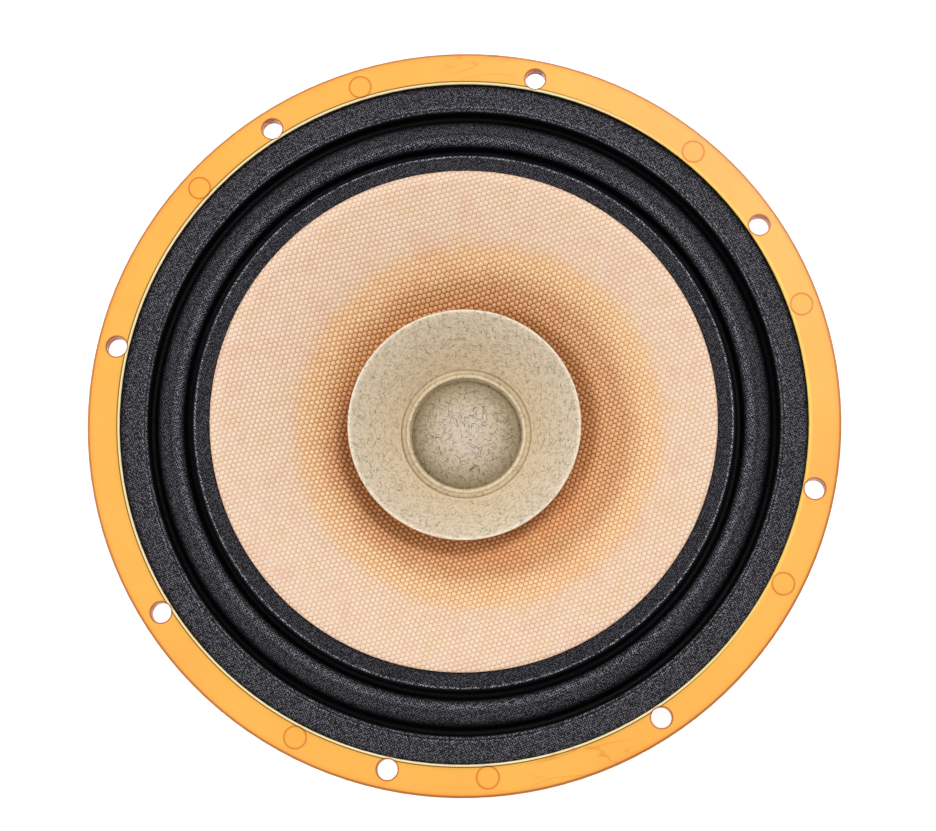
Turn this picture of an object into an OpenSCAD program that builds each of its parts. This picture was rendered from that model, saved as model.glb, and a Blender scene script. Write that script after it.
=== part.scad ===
// Full-range loudspeaker driver with a whizzer cone.
// The driver lies on its magnet with the cone facing up. +Z is the axis of the voice coil, and z = 0 is the
// rear face of the mounting flange, which rests on the baffle. +X is the mirror axis of the screw holes.

/* [Mounting flange] */
// Outer diameter of the flange
flange_d = 206; // [185:1:230]
// Thickness of the flange
flange_t = 4.5; // [4:0.1:7]
// Distance from the circle of mounting holes to the flange's outer edge
bolt_edge_w = 5.5; // [4.5:0.1:8]
// Diameter of each mounting hole
bolt_hole_d = 5.6; // [4:0.1:6.5]
// Number of mounting holes
bolt_count = 8; // [4:1:10]
// Wall between a mounting hole and the recess for the surround
recess_web = 0.5; // [0.3:0.1:1.5]
// Depth of the recess that the surround lies in
recess_depth = 2.5; // [1:0.1:3]
// Bevel on the flange's edges
edge_bevel = 0.4; // [0.2:0.1:0.8]
// Diameter of the round marks that the ejector pins left on the flange
ejector_mark_d = 6; // [4:0.5:7]

/* [Basket] */
// Wall thickness of the spigot that enters the baffle
spigot_wall = 3.5; // [2:0.1:5]
// Length of the spigot behind the flange
spigot_l = 8; // [4:1:12]
// Number of arms between the flange and the motor
arm_count = 8; // [4:1:10]
// Width of each arm
arm_w = 10; // [6:0.5:14]
// Height of the stiffening rib behind each arm
rib_h = 5; // [2:0.5:7]
// Thickness of the stiffening rib
rib_t = 2.5; // [1.5:0.1:4]
// Wall thickness of the moulded ledge and rings
basket_wall = 2.5; // [2:0.1:4]
// Thickness of the ring that is screwed to the top plate
foot_t = 3; // [2:0.1:5]
// Inner diameter of the ring that is screwed to the top plate
foot_bore_d = 72; // [60:1:76]
// Width of each vent in the wall below the spider
spider_vent_w = 14; // [8:1:18]

/* [Cone and surround] */
// Travel of the cone to either side of rest
travel = 4; // [2:0.5:5]
// Thickness of the surround's doped cloth
surround_t = 0.5; // [0.3:0.1:0.7]
// Width of the surround's outer flat band
outer_flat_w = 7.5; // [6:0.1:8]
// Width of the surround's roll between its two grooves
roll_w = 7.8; // [6:0.1:9]
// Width of each groove beside the roll
groove_w = 2.3; // [1.8:0.1:3]
// Depth of each groove below the flat bands
groove_depth = 4; // [2.5:0.1:5]
// Width of the surround's inner flat band that shows beside the cone
inner_flat_w = 2.9; // [1:0.1:4]
// Width of the glued seam between cone and surround
seam_w = 2.9; // [2:0.1:5]
// Thickness of the cone's woven fabric
cone_t = 0.6; // [0.4:0.1:1]
// Thickness of the glue between the surround and the cone's rim
seam_glue_t = 0.3; // [0.3:0.05:0.5]
// Depth of the cone from its glued rim to its neck
cone_depth = 35.3; // [28:0.1:40]
// Bulge of the cone's curved wall in front of a straight one
cone_bulge = 4; // [1:0.5:6]
// Length of the cone's neck that is glued to the coil former
cone_neck_l = 3.3; // [2:0.1:4]

/* [Whizzer cone and dust cap] */
// Diameter of the whizzer cone's mouth
whizzer_d = 65.4; // [50:0.1:80]
// Depth of the whizzer cone from its mouth to its neck
whizzer_depth = 18.2; // [14:0.1:20]
// Length of the whizzer cone's neck that is glued to the coil former
whizzer_neck_l = 4.5; // [3:0.1:5]
// Bulge of the whizzer cone's curved wall
whizzer_bulge = 1; // [0.4:0.1:2]
// Thickness of the paper of the whizzer cone and the dust cap
paper_t = 0.5; // [0.3:0.1:0.7]
// Height of the dust cap's turned-up rim
cap_rim_h = 1.6; // [1:0.1:2.5]
// Height of the dust cap's dome
cap_dome_h = 4; // [2:0.1:6]

/* [Voice coil and spider] */
// Inner diameter of the coil former
former_d = 35; // [32:0.5:38]
// Wall thickness of the coil former
former_t = 0.2; // [0.15:0.05:0.4]
// Wall thickness of the paper collar around the former
collar_t = 0.2; // [0.15:0.05:0.4]
// Thickness of the layers of wire
winding_t = 0.7; // [0.4:0.1:0.9]
// Length of the winding
winding_l = 12; // [8:0.5:14]
// Clearance of each glued round joint
glue_gap = 0.05; // [0.05:0.01:0.1]
// Distance from the cone's neck to the spider
spider_drop = 6.5; // [5.5:0.1:9]
// Outer diameter of the spider
spider_d = 112; // [109:1:118]
// Thickness of the spider's cloth
spider_t = 0.4; // [0.3:0.1:0.6]
// Width of the spider's flat rim
spider_rim_w = 5; // [4:0.5:7]
// Number of corrugations of the spider
spider_waves = 6; // [4:1:8]
// Height of the corrugations to either side of the spider's plane
spider_wave_h = 1.2; // [0.8:0.1:1.4]

/* [Magnet and plates] */
// Outer diameter of the ferrite ring
magnet_d = 120; // [112:1:120]
// Inner diameter of the ferrite ring
magnet_bore_d = 60; // [50:1:70]
// Thickness of the ferrite ring
magnet_t = 18; // [12:1:25]
// Outer diameter of the top plate and the back plate
plate_d = 110; // [106:1:112]
// Thickness of the top plate
top_plate_t = 6; // [5.5:0.5:8]
// Thickness of the back plate
back_plate_t = 6.5; // [5:0.5:8]
// Clearance between the winding and the top plate
outer_gap = 0.5; // [0.4:0.1:0.8]
// Clearance between the former and the pole piece
inner_gap = 0.4; // [0.3:0.1:0.6]
// Diameter of the vent through the pole piece
vent_d = 12; // [8:1:16]
// Diameter of the pole piece's spigot in the back plate
pole_spigot_d = 24; // [22:1:28]
// Opening of each square of the vent's mesh
mesh_hole = 1.2; // [0.8:0.1:1.6]
// Width of each wire of the vent's mesh
mesh_wire = 0.6; // [0.4:0.1:0.8]

/* [Screws and terminals] */
// Number of screws between basket and top plate
screw_count = 4; // [3:1:8]
// Diameter of each screw's shank
screw_d = 4; // [3:0.5:5]
// Diameter of each screw's head
screw_head_d = 7.2; // [6:0.1:9]
// Height of each screw's head
screw_head_h = 2.4; // [1.5:0.1:3]
// Depth of each screw in the top plate
screw_grip = 4.5; // [3:0.5:4.5]
// Width of the terminal board
board_w = 30; // [28:1:36]
// Depth of the terminal board away from the basket
board_l = 13; // [11:1:15]
// Thickness of the terminal board
board_t = 1.5; // [1:0.1:2]
// Distance between the two terminals
tab_spacing = 18; // [17:1:20]
// Width of the positive terminal's blade
tab_plus_w = 6.3; // [4.8:0.1:6.3]
// Width of the negative terminal's blade
tab_minus_w = 4.8; // [2.8:0.1:4.8]
// Thickness of each blade
tab_t = 0.8; // [0.5:0.1:1]
// Length of each blade beyond the board
tab_l = 8; // [6:0.5:9]
// Diameter of each braided lead
lead_d = 1.6; // [1:0.1:1.8]

/* [Hidden] */
$fn = 96;

// Overlap of a cutting shape with the face that it cuts, and the smallest clearance of a loose fit
cut = 0.1;
fit_gap = 0.2;

// Circle of mounting holes, inside the flange's outer edge
flange_r = flange_d/2;
bolt_circle_r = flange_r - bolt_edge_w;

// Surround, from the wall of the recess inwards
recess_r = bolt_circle_r - bolt_hole_d/2 - recess_web;
shelf_z = flange_t - recess_depth;
surround_r = recess_r - fit_gap;
surround_z = shelf_z + surround_t/2;
groove_r = groove_w/2;
lip_r = 0.65;
outer_groove_r = surround_r - outer_flat_w - lip_r - groove_r;
roll_r = outer_groove_r - groove_r - roll_w/2;
inner_groove_r = roll_r - roll_w/2 - groove_r;
inner_lip_r = inner_groove_r - groove_r - lip_r;
groove_z = surround_z - groove_depth + groove_r;
roll_h = groove_depth - groove_r;

// Cone, whose rim lies on the surround's inner band
cone_r = inner_lip_r - inner_flat_w;
cone_rim_z = shelf_z + surround_t + seam_glue_t + cone_t/2;
seam_r = cone_r - seam_w;

// Round joints on the coil former
former_r = former_d/2 + former_t;
collar_in_r = former_r + glue_gap;
collar_r = collar_in_r + collar_t;
neck_in_r = collar_r + glue_gap;
cone_neck_z = cone_rim_z - cone_depth;
cone_neck_r = neck_in_r + cone_t/2;
cone_foot_z = cone_neck_z - cone_neck_l;
whizzer_gap = 2.2;
whizzer_foot_z = cone_neck_z + whizzer_gap;
whizzer_neck_z = whizzer_foot_z + whizzer_neck_l;
whizzer_neck_r = neck_in_r + paper_t/2;
former_stand = 1;
former_top_z = whizzer_neck_z + former_stand;
cap_rim_r = former_d/2 - glue_gap - paper_t/2;
cap_bend = 0.8;
cap_edge_r = cap_rim_r - cap_bend;
cap_edge_z = former_top_z - cap_rim_h;

// Spider and the ledge under it
spider_z = cone_foot_z - spider_drop;
spider_neck_r = neck_in_r + spider_t/2;
spider_neck_l = 1.6;
spider_bend = 0.3;
spider_flat_w = 2.2;
spider_r = spider_d/2;
ledge_z = spider_z - spider_t/2;
ledge_in_r = spider_r - spider_rim_w;
ledge_lip_h = 1.25;
ledge_lip_w = 1.2;
ledge_lip_r = spider_r + fit_gap;
ledge_out_r = ledge_lip_r + ledge_lip_w;
spider_room = 2;
under_spider = spider_wave_h + travel + spider_room;
foot_z = ledge_z - under_spider;
plate_top_z = foot_z - foot_t;

// Basket
shelf_margin = 0.5;
shelf_in_r = surround_r - outer_flat_w + shelf_margin;
spigot_r = shelf_in_r + spigot_wall;
arm_foot_w = 3.1;
arm_foot_r = ledge_out_r + arm_foot_w;
arm_foot_z = ledge_z - basket_wall;
window_in_r = arm_foot_r;
window_out_r = shelf_in_r - 1;
window_fillet = 3;
rib_seat = 2;
foot_wall_r = ledge_in_r + basket_wall;
screw_circle_r = (foot_bore_d/2 + ledge_in_r)/2;
screw_hole_d = screw_d + 2*fit_gap;
vent_margin = 0.6;
mark_depth = 0.15;
mark_line = 0.3;
mark_margin = 0.6;
mark_circle_r = recess_r + mark_margin + ejector_mark_d/2;
mark_angles = [7.8, 38.7, 96.5, 127.9, -38.6, -96.6, -127.9];

// Magnet system
plate_r = plate_d/2;
gap_r = collar_in_r + winding_t + outer_gap;
pole_r = former_d/2 - inner_gap;
magnet_top_z = plate_top_z - top_plate_t;
magnet_foot_z = magnet_top_z - magnet_t;
back_z = magnet_foot_z - back_plate_t;
winding_z = plate_top_z - top_plate_t/2 - winding_l/2;
winding_margin = 0.5;
former_foot_z = winding_z - winding_margin;
collar_foot_z = winding_z + winding_l + winding_margin;
magnet_bevel = 1;
vent_flare = 2;
mesh_margin = 3;
mesh_r = vent_d/2 + mesh_margin;
mesh_t = 0.5;
mesh_seat = 0.8;
thread_gap = 0.05;
thread_run_out = 0.5;
screw_l = foot_t + screw_grip;
screw_bevel = 0.5;
socket_share = 0.8;

// Terminals
board_offset = 4.4;
board_in_x = window_in_r + board_offset;
platform_x = board_in_x + board_l;
board_top_z = ledge_z + board_t;
tab_rivet_x = board_in_x + board_l/2;
tab_tip_x = platform_x + tab_l;
tab_dimple_d = 1.8;
tag_stand = 1;
tag_x = board_in_x - tag_stand;
tag_w = 4;
tag_h = 6.5;
rivet_d = 3;
rivet_hole_d = rivet_d + 2*glue_gap;
rivet_head_d = 4.8;
rivet_head_h = 0.6;
rivet_room = 0.6;
joint_r = 1.1;
joint_depth = 0.15;

// Route of the positive lead from its tag to the former, with heights from the foot of the cone's neck
lead_points = [
    [-61.6, 9, -1], [-60, 9, -1], [-57, 8.8, -0.2], [-53, 8.4, 1.4], [-49, 7.9, 3], [-45, 7.3, 4],
    [-41, 6.7, 4.4], [-37, 6.1, 4.2], [-33, 5.5, 3.2], [-29, 4.9, 1.6], [-26, 4.5, -0.2], [-23.6, 4.2, -1.8],
    [-21.6, 4, -2.6], [-20, 4, -2.6]
];
lead_route = [for (p = lead_points) p + [0, 0, cone_foot_z]];

// Steps of an arc from angle a to angle b around a centre, with separate half widths in r and z
function arc(c, rx, rz, a, b, n) = [for (i = [0:n]) [c[0] + rx*cos(a + (b - a)*i/n), c[1] + rz*sin(a + (b - a)*i/n)]];

// Points from a to b on a line that bulges sideways by h as a parabola
function bulged(a, b, h, n) = let (d = (b - a)/norm(b - a))
    [for (i = [0:n]) a + (b - a)*i/n + [-d[1], d[0]]*4*h*(i/n)*(1 - i/n)];

// Unit vector square to a profile at its point i
function side(p, i) = let (a = p[max(i - 1, 0)], b = p[min(i + 1, len(p) - 1)], d = (b - a)/norm(b - a))
    [-d[1], d[0]];

// Closed outline of a thin wall of thickness t whose middle line is the profile p
function wall(p, t) = concat(
    [for (i = [0:len(p) - 1]) let (q = p[i] + side(p, i)*t/2) [max(0, q[0]), q[1]]],
    [for (i = [len(p) - 1:-1:0]) let (q = p[i] - side(p, i)*t/2) [max(0, q[0]), q[1]]]
);

// A thin round shell turned from a profile of radius and height
module shell(profile, t) {
    rotate_extrude($fn = 180)
        polygon(wall(profile, t));
}

// A tube with flat ends from height z of length h
module tube(r_out, r_in, z, h) {
    translate([0, 0, z])
        difference() {
            cylinder(r = r_out, h = h, $fn = 180);
            translate([0, 0, -cut])
                cylinder(r = r_in, h = h + 2*cut, $fn = 180);
        }
}

// A ring whose four edges are bevelled
module bevelled_ring(r_out, r_in, z, h, bevel) {
    rotate_extrude($fn = 180)
        polygon([
            [r_in + bevel, z], [r_out - bevel, z], [r_out, z + bevel], [r_out, z + h - bevel],
            [r_out - bevel, z + h], [r_in + bevel, z + h], [r_in, z + h - bevel], [r_in, z + bevel]
        ]);
}

// Copies of the children around the axis at equal angles
module around(count, first) {
    for (i = [0:count - 1])
        rotate([0, 0, first + 360*i/count])
            children();
}

// Outline of the basket's moulded wall, from the flange to the ring on the top plate
function basket_profile() = [
    [spigot_r, 0], [flange_r - edge_bevel, 0], [flange_r, edge_bevel],
    [flange_r, flange_t - edge_bevel], [flange_r - edge_bevel, flange_t],
    [recess_r + edge_bevel/2, flange_t], [recess_r, flange_t - edge_bevel/2], [recess_r, shelf_z],
    [shelf_in_r + edge_bevel, shelf_z], [shelf_in_r, shelf_z - edge_bevel], [shelf_in_r, -spigot_l],
    [ledge_out_r, ledge_z + ledge_lip_h], [ledge_lip_r, ledge_z + ledge_lip_h], [ledge_lip_r, ledge_z],
    [ledge_in_r, ledge_z], [ledge_in_r, foot_z], [foot_bore_d/2, foot_z], [foot_bore_d/2, plate_top_z],
    [foot_wall_r, plate_top_z], [foot_wall_r, arm_foot_z], [arm_foot_r, arm_foot_z],
    [spigot_r, -spigot_l]
];

// Point at radius r and angle a
function polar(r, a) = [r*cos(a), r*sin(a)];

// One window in plan between the arms at the angles a and b, with rounded corners
module window(a, b) {
    f = window_fillet;
    r1 = window_in_r + f;
    r2 = window_out_r - f;
    half = arm_w/2 + f;
    a1 = a + asin(half/r1);
    b1 = b - asin(half/r1);
    a2 = a + asin(half/r2);
    b2 = b - asin(half/r2);
    translate([0, 0, arm_foot_z - cut])
        linear_extrude(abs(arm_foot_z))
            polygon(concat(
                [for (i = [1:3]) polar(window_in_r, a1 + (b1 - a1)*i/4)],
                arc(polar(r1, b1), f, f, b1 + 180, b + 90, 3),
                arc(polar(r2, b2), f, f, b + 90, b2, 3),
                [for (i = [1:5]) polar(window_out_r, b2 + (a2 - b2)*i/6)],
                arc(polar(r2, a2), f, f, a2, a - 90, 3),
                arc(polar(r1, a1), f, f, a - 90, a1 - 180, 3)
            ));
}

// Stiffening rib behind one arm, along the arm's outer face
module arm_rib() {
    rotate([90, 0, 0])
        translate([0, 0, -rib_t/2])
            linear_extrude(rib_t)
                polygon([
                    [arm_foot_r - rib_seat, arm_foot_z], [arm_foot_r + rib_h, arm_foot_z + rib_h],
                    [spigot_r - rib_seat, -spigot_l - rib_h/2], [spigot_r - rib_seat, -spigot_l + rib_seat/2],
                    [ledge_out_r, arm_foot_z + rib_seat]
                ]);
}

// Moulded frame: flange, spigot, arms, spider ledge, ring on the top plate and terminal platform
module basket() {
    color([0.93, 0.62, 0.24, 0.9])
        difference() {
            union() {
                difference() {
                    rotate_extrude($fn = 240)
                        polygon(basket_profile());
                    for (i = [0:arm_count - 1])
                        window(360*i/arm_count, 360*(i + 1)/arm_count);
                }
                around(arm_count, 0)
                    arm_rib();
                translate([-platform_x, -board_w/2, arm_foot_z])
                    cube([platform_x - ledge_out_r, board_w, basket_wall]);
            }
            // Mounting holes
            around(bolt_count, 180/bolt_count)
                translate([bolt_circle_r, 0, -cut])
                    cylinder(d = bolt_hole_d, h = flange_t + 2*cut);
            // Round marks of the ejector pins
            for (a = mark_angles)
                rotate([0, 0, a])
                    translate([mark_circle_r, 0, flange_t - mark_depth])
                        difference() {
                            cylinder(d = ejector_mark_d + mark_line, h = mark_depth + cut);
                            translate([0, 0, -cut])
                                cylinder(d = ejector_mark_d - mark_line, h = mark_depth + 3*cut);
                        }
            // Screw holes of the ring on the top plate
            around(screw_count, 180/screw_count)
                translate([screw_circle_r, 0, plate_top_z - cut])
                    cylinder(d = screw_hole_d, h = foot_t + 2*cut);
            // Vents below the spider
            around(arm_count, 180/arm_count)
                translate([ledge_in_r - 1, -spider_vent_w/2, foot_z + vent_margin])
                    cube([basket_wall + 2, spider_vent_w, under_spider - basket_wall - 2*vent_margin]);
            // Clearance for the terminals' rivets and the hole for the board's rivet
            for (s = [-1, 1])
                translate([-tab_rivet_x, s*tab_spacing/2, arm_foot_z - cut])
                    cylinder(d = rivet_head_d + 2*rivet_room, h = basket_wall + 2*cut, $fn = 48);
            translate([-tab_rivet_x, 0, arm_foot_z - cut])
                cylinder(d = rivet_hole_d, h = basket_wall + 2*cut, $fn = 48);
        }
}

// Middle line of the surround: flat band, groove, roll, groove, flat band
function surround_profile() = concat(
    [[surround_r, surround_z]],
    arc([outer_groove_r + groove_r + lip_r, surround_z - lip_r], lip_r, lip_r, 90, 180, 3),
    arc([outer_groove_r, groove_z], groove_r, groove_r, 0, -180, 6),
    [for (i = [1:11]) [roll_r + roll_w/2*cos(15*i), groove_z + roll_h*sin(15*i)]],
    arc([inner_groove_r, groove_z], groove_r, groove_r, 0, -180, 6),
    arc([inner_lip_r, surround_z - lip_r], lip_r, lip_r, 0, 90, 3),
    [[seam_r, surround_z]]
);

// Pleated ring of doped cloth between the basket and the cone
module surround() {
    color([0.2, 0.2, 0.22])
        shell(surround_profile(), surround_t);
}

// Cone of woven fabric with a flat glued rim and a straight neck
module cone() {
    color([0.92, 0.8, 0.68])
        shell(concat(
            [[cone_neck_r, cone_foot_z]],
            bulged([cone_neck_r, cone_neck_z], [seam_r, cone_rim_z], cone_bulge, 16),
            [[cone_r, cone_rim_z]]
        ), cone_t);
}

// Small stiff paper cone for the high notes, glued inside the neck of the main cone
module whizzer_cone() {
    color([0.82, 0.75, 0.64])
        shell(concat(
            [[whizzer_neck_r, whizzer_foot_z]],
            bulged([whizzer_neck_r, whizzer_neck_z], [whizzer_d/2, whizzer_neck_z + whizzer_depth], whizzer_bulge, 10)
        ), paper_t);
}

// Paper dome with a turned-up rim, glued inside the former
module dust_cap() {
    color([0.84, 0.78, 0.7])
        shell(concat(
            [[cap_rim_r, former_top_z], [cap_rim_r, cap_edge_z + paper_t]],
            [for (i = [0:14]) [cap_edge_r*(1 - i/14), cap_edge_z + cap_dome_h*(1 - pow(1 - i/14, 2))]]
        ), paper_t);
}

// Thin tube that carries the winding
module coil_former() {
    color([0.75, 0.5, 0.2])
        tube(former_r, former_d/2, former_foot_z, former_top_z - former_foot_z);
}

// Paper wrap that stiffens the former above the winding
module former_collar() {
    color([0.6, 0.45, 0.3])
        tube(collar_r, collar_in_r, collar_foot_z, whizzer_neck_z - collar_foot_z);
}

// Layers of wire in the magnet's gap
module coil_winding() {
    color([0.75, 0.4, 0.25])
        tube(collar_in_r + winding_t, collar_in_r, winding_z, winding_l);
}

// Middle line of the spider: straight neck, flat, corrugations, flat rim
function spider_profile() = let (
    wave_in = spider_neck_r + spider_flat_w,
    wave_out = ledge_in_r - fit_gap,
    steps = 8*spider_waves
) concat(
    [[spider_neck_r, spider_z - spider_neck_l]],
    [[spider_neck_r, spider_z - spider_bend], [spider_neck_r + spider_bend, spider_z]],
    [
        for (i = [0:steps])
            [wave_in + (wave_out - wave_in)*i/steps, spider_z + spider_wave_h*sin(360*spider_waves*i/steps)]
    ],
    [[spider_r, spider_z]]
);

// Corrugated disc of phenolic cloth that centres the coil
module spider() {
    color([0.85, 0.68, 0.3])
        shell(spider_profile(), spider_t);
}

// Steel ring in front of the magnet, with blind threaded holes for the basket's screws
module top_plate() {
    color([0.75, 0.75, 0.72])
        difference() {
            bevelled_ring(plate_r, gap_r, magnet_top_z, top_plate_t, edge_bevel);
            around(screw_count, 180/screw_count)
                translate([screw_circle_r, 0, plate_top_z - screw_grip - thread_run_out])
                    cylinder(d = screw_d + 2*thread_gap, h = screw_grip + thread_run_out + cut);
        }
}

// Ferrite ring
module magnet_ring() {
    color([0.22, 0.22, 0.23])
        bevelled_ring(magnet_d/2, magnet_bore_d/2, magnet_foot_z, magnet_t, magnet_bevel);
}

// Steel disc behind the magnet, bored for the pole piece
module back_plate() {
    color([0.75, 0.75, 0.72])
        bevelled_ring(plate_r, pole_spigot_d/2 + thread_gap, back_z, back_plate_t, edge_bevel);
}

// Vented steel pole inside the coil, pressed into the back plate
module pole_piece() {
    color([0.7, 0.7, 0.68])
        rotate_extrude($fn = 180)
            polygon([
                [vent_d/2, back_z + mesh_seat], [mesh_r + fit_gap/2, back_z + mesh_seat],
                [mesh_r + fit_gap/2, back_z], [pole_spigot_d/2, back_z], [pole_spigot_d/2, magnet_foot_z],
                [pole_r, magnet_foot_z], [pole_r, plate_top_z - edge_bevel], [pole_r - edge_bevel, plate_top_z],
                [vent_d/2 + vent_flare, plate_top_z], [vent_d/2, plate_top_z - vent_flare]
            ]);
}

// Square mesh in the mouth of the vent
module vent_mesh() {
    pitch = mesh_hole + mesh_wire;
    reach = floor((mesh_r - mesh_hole)/pitch);
    color([0.3, 0.3, 0.3])
        translate([0, 0, back_z + mesh_seat - mesh_t])
            difference() {
                cylinder(r = mesh_r, h = mesh_t);
                for (i = [-reach:reach])
                    for (k = [-reach:reach])
                        if (norm([i, k])*pitch + mesh_hole < mesh_r)
                            translate([i*pitch - mesh_hole/2, k*pitch - mesh_hole/2, -cut])
                                cube([mesh_hole, mesh_hole, mesh_t + 2*cut]);
            }
}

// One pan-head screw with a hexagon socket, standing on z = 0
module pan_screw() {
    difference() {
        union() {
            cylinder(d = screw_head_d, h = screw_head_h - screw_bevel, $fn = 48);
            translate([0, 0, screw_head_h - screw_bevel])
                cylinder(d1 = screw_head_d, d2 = screw_head_d - 2*screw_bevel, h = screw_bevel, $fn = 48);
            translate([0, 0, -screw_l])
                cylinder(d = screw_d, h = screw_l + cut, $fn = 48);
        }
        translate([0, 0, screw_head_h/2])
            cylinder(d = screw_d*socket_share, h = screw_head_h, $fn = 6);
    }
}

// Screws that hold the basket on the top plate
module basket_screws() {
    color([0.6, 0.6, 0.58])
        around(screw_count, 180/screw_count)
            translate([screw_circle_r, 0, foot_z])
                pan_screw();
}

// Board of laminated paper that insulates the terminals
module terminal_board() {
    color([0.35, 0.2, 0.12])
        difference() {
            translate([-platform_x, -board_w/2, ledge_z])
                cube([board_l, board_w, board_t]);
            for (y = [-tab_spacing/2, 0, tab_spacing/2])
                translate([-tab_rivet_x, y, ledge_z - cut])
                    cylinder(d = rivet_hole_d, h = board_t + 2*cut, $fn = 48);
        }
}

// One blade with an upright tag for the lead, w wide, at the side s of the board
module terminal(w, s) {
    translate([0, s*tab_spacing/2, 0])
        difference() {
            union() {
                translate([-tab_tip_x, -w/2, board_top_z])
                    cube([tab_tip_x - tag_x, w, tab_t]);
                translate([-tag_x - tab_t, -tag_w/2, board_top_z])
                    cube([tab_t, tag_w, tag_h]);
            }
            translate([-tab_rivet_x, 0, board_top_z - cut])
                cylinder(d = rivet_hole_d, h = tab_t + 2*cut, $fn = 48);
            translate([-tab_tip_x + tab_l/2, 0, board_top_z - cut])
                cylinder(d = tab_dimple_d, h = tab_t + 2*cut, $fn = 32);
        }
}

// Wide blade of the positive terminal
module terminal_plus() {
    color([0.85, 0.82, 0.75])
        terminal(tab_plus_w, 1);
}

// Narrow blade of the negative terminal
module terminal_minus() {
    color([0.85, 0.82, 0.75])
        terminal(tab_minus_w, -1);
}

// One rivet through a stack from height z of thickness h, with a head at both ends
module rivet(z, h) {
    translate([0, 0, z - rivet_head_h])
        cylinder(d = rivet_head_d, h = rivet_head_h, $fn = 48);
    translate([0, 0, z - cut])
        cylinder(d = rivet_d, h = h + 2*cut, $fn = 48);
    translate([0, 0, z + h])
        cylinder(d = rivet_head_d, h = rivet_head_h, $fn = 48);
}

// Rivets that hold the blades on the board
module terminal_rivets() {
    color([0.8, 0.76, 0.66])
        for (s = [-1, 1])
            translate([-tab_rivet_x, s*tab_spacing/2, 0])
                rivet(ledge_z, board_t + tab_t);
}

// Rivet that holds the board on the basket
module board_rivet() {
    color([0.8, 0.76, 0.66])
        translate([-tab_rivet_x, 0, 0])
            rivet(arm_foot_z, basket_wall + board_t);
}

// Points of a ring of eight around point i of a route, square to the route
function ring_at(p, i, r) = let (
    d = p[min(i + 1, len(p) - 1)] - p[max(i - 1, 0)],
    t = d/norm(d),
    u0 = cross([0, 0, 1], t),
    u = u0/norm(u0),
    v = cross(t, u)
) [for (k = [0:7]) p[i] + r*(u*cos(45*k) + v*sin(45*k))];

// Tube of eight sides along a route
module swept_tube(p, r) {
    n = len(p);
    points = [for (i = [0:n - 1]) each ring_at(p, i, r)];
    walls = [
        for (i = [0:n - 2])
            for (k = [0:7])
                let (a = 8*i + k, b = 8*i + (k + 1) % 8)
                each [[a, a + 8, b], [b, a + 8, b + 8]]
    ];
    foot = [for (k = [1:6]) [0, k, k + 1]];
    head = [for (k = [1:6]) [8*(n - 1), 8*(n - 1) + k + 1, 8*(n - 1) + k]];
    polyhedron(points, concat(walls, foot, head), convexity = 6);
}

// Braided lead from the positive tag to the former
module tinsel_lead_plus() {
    color([0.8, 0.55, 0.35])
        swept_tube(lead_route, lead_d/2);
}

// Braided lead from the negative tag to the former
module tinsel_lead_minus() {
    color([0.8, 0.55, 0.35])
        swept_tube([for (p = lead_route) [p[0], -p[1], p[2]]], lead_d/2);
}

// Solder on the former at the moving end of each lead
module lead_joints_former() {
    last = lead_route[len(lead_route) - 1];
    color([0.75, 0.75, 0.76])
        for (s = [-1, 1])
            translate([last[0], s*last[1], last[2]])
                rotate([0, 90, 0])
                    cylinder(r = joint_r, h = abs(last[0]) - collar_r + joint_depth, $fn = 32);
}

// Solder on the tags at the fixed end of each lead
module lead_joints_tags() {
    first = lead_route[0];
    color([0.75, 0.75, 0.76])
        for (s = [-1, 1])
            translate([-tag_x, s*first[1], first[2]])
                rotate([0, 90, 0])
                    cylinder(r = joint_r, h = tag_x + first[0], $fn = 32);
}

basket();
surround();
cone();
whizzer_cone();
dust_cap();
coil_former();
former_collar();
coil_winding();
spider();
top_plate();
magnet_ring();
back_plate();
pole_piece();
vent_mesh();
basket_screws();
terminal_board();
terminal_plus();
terminal_minus();
terminal_rivets();
board_rivet();
tinsel_lead_plus();
tinsel_lead_minus();
lead_joints_former();
lead_joints_tags();
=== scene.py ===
import math

import bpy
import numpy as np
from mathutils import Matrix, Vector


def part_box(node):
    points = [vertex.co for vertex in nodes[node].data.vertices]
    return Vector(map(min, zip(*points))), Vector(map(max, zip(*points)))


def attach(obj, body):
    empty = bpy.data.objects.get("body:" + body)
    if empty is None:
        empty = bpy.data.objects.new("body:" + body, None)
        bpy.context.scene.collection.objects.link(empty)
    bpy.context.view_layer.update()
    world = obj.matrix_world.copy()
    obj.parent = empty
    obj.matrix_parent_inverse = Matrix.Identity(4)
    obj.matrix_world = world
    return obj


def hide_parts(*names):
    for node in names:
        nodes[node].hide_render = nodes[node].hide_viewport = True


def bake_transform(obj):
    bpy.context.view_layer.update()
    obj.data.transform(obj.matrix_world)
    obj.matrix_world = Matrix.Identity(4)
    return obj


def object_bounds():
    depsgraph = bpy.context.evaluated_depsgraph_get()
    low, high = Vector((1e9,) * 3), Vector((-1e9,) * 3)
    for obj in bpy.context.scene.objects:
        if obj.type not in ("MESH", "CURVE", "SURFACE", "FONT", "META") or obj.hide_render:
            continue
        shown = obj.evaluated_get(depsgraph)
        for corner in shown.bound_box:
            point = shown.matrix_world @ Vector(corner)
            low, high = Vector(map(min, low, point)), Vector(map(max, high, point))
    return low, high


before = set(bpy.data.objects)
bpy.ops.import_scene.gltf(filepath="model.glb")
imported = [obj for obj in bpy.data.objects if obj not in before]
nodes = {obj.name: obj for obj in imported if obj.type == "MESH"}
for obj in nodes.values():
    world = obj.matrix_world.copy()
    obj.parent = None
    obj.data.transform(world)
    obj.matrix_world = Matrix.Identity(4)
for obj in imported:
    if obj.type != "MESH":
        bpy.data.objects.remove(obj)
cad_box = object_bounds()

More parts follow.
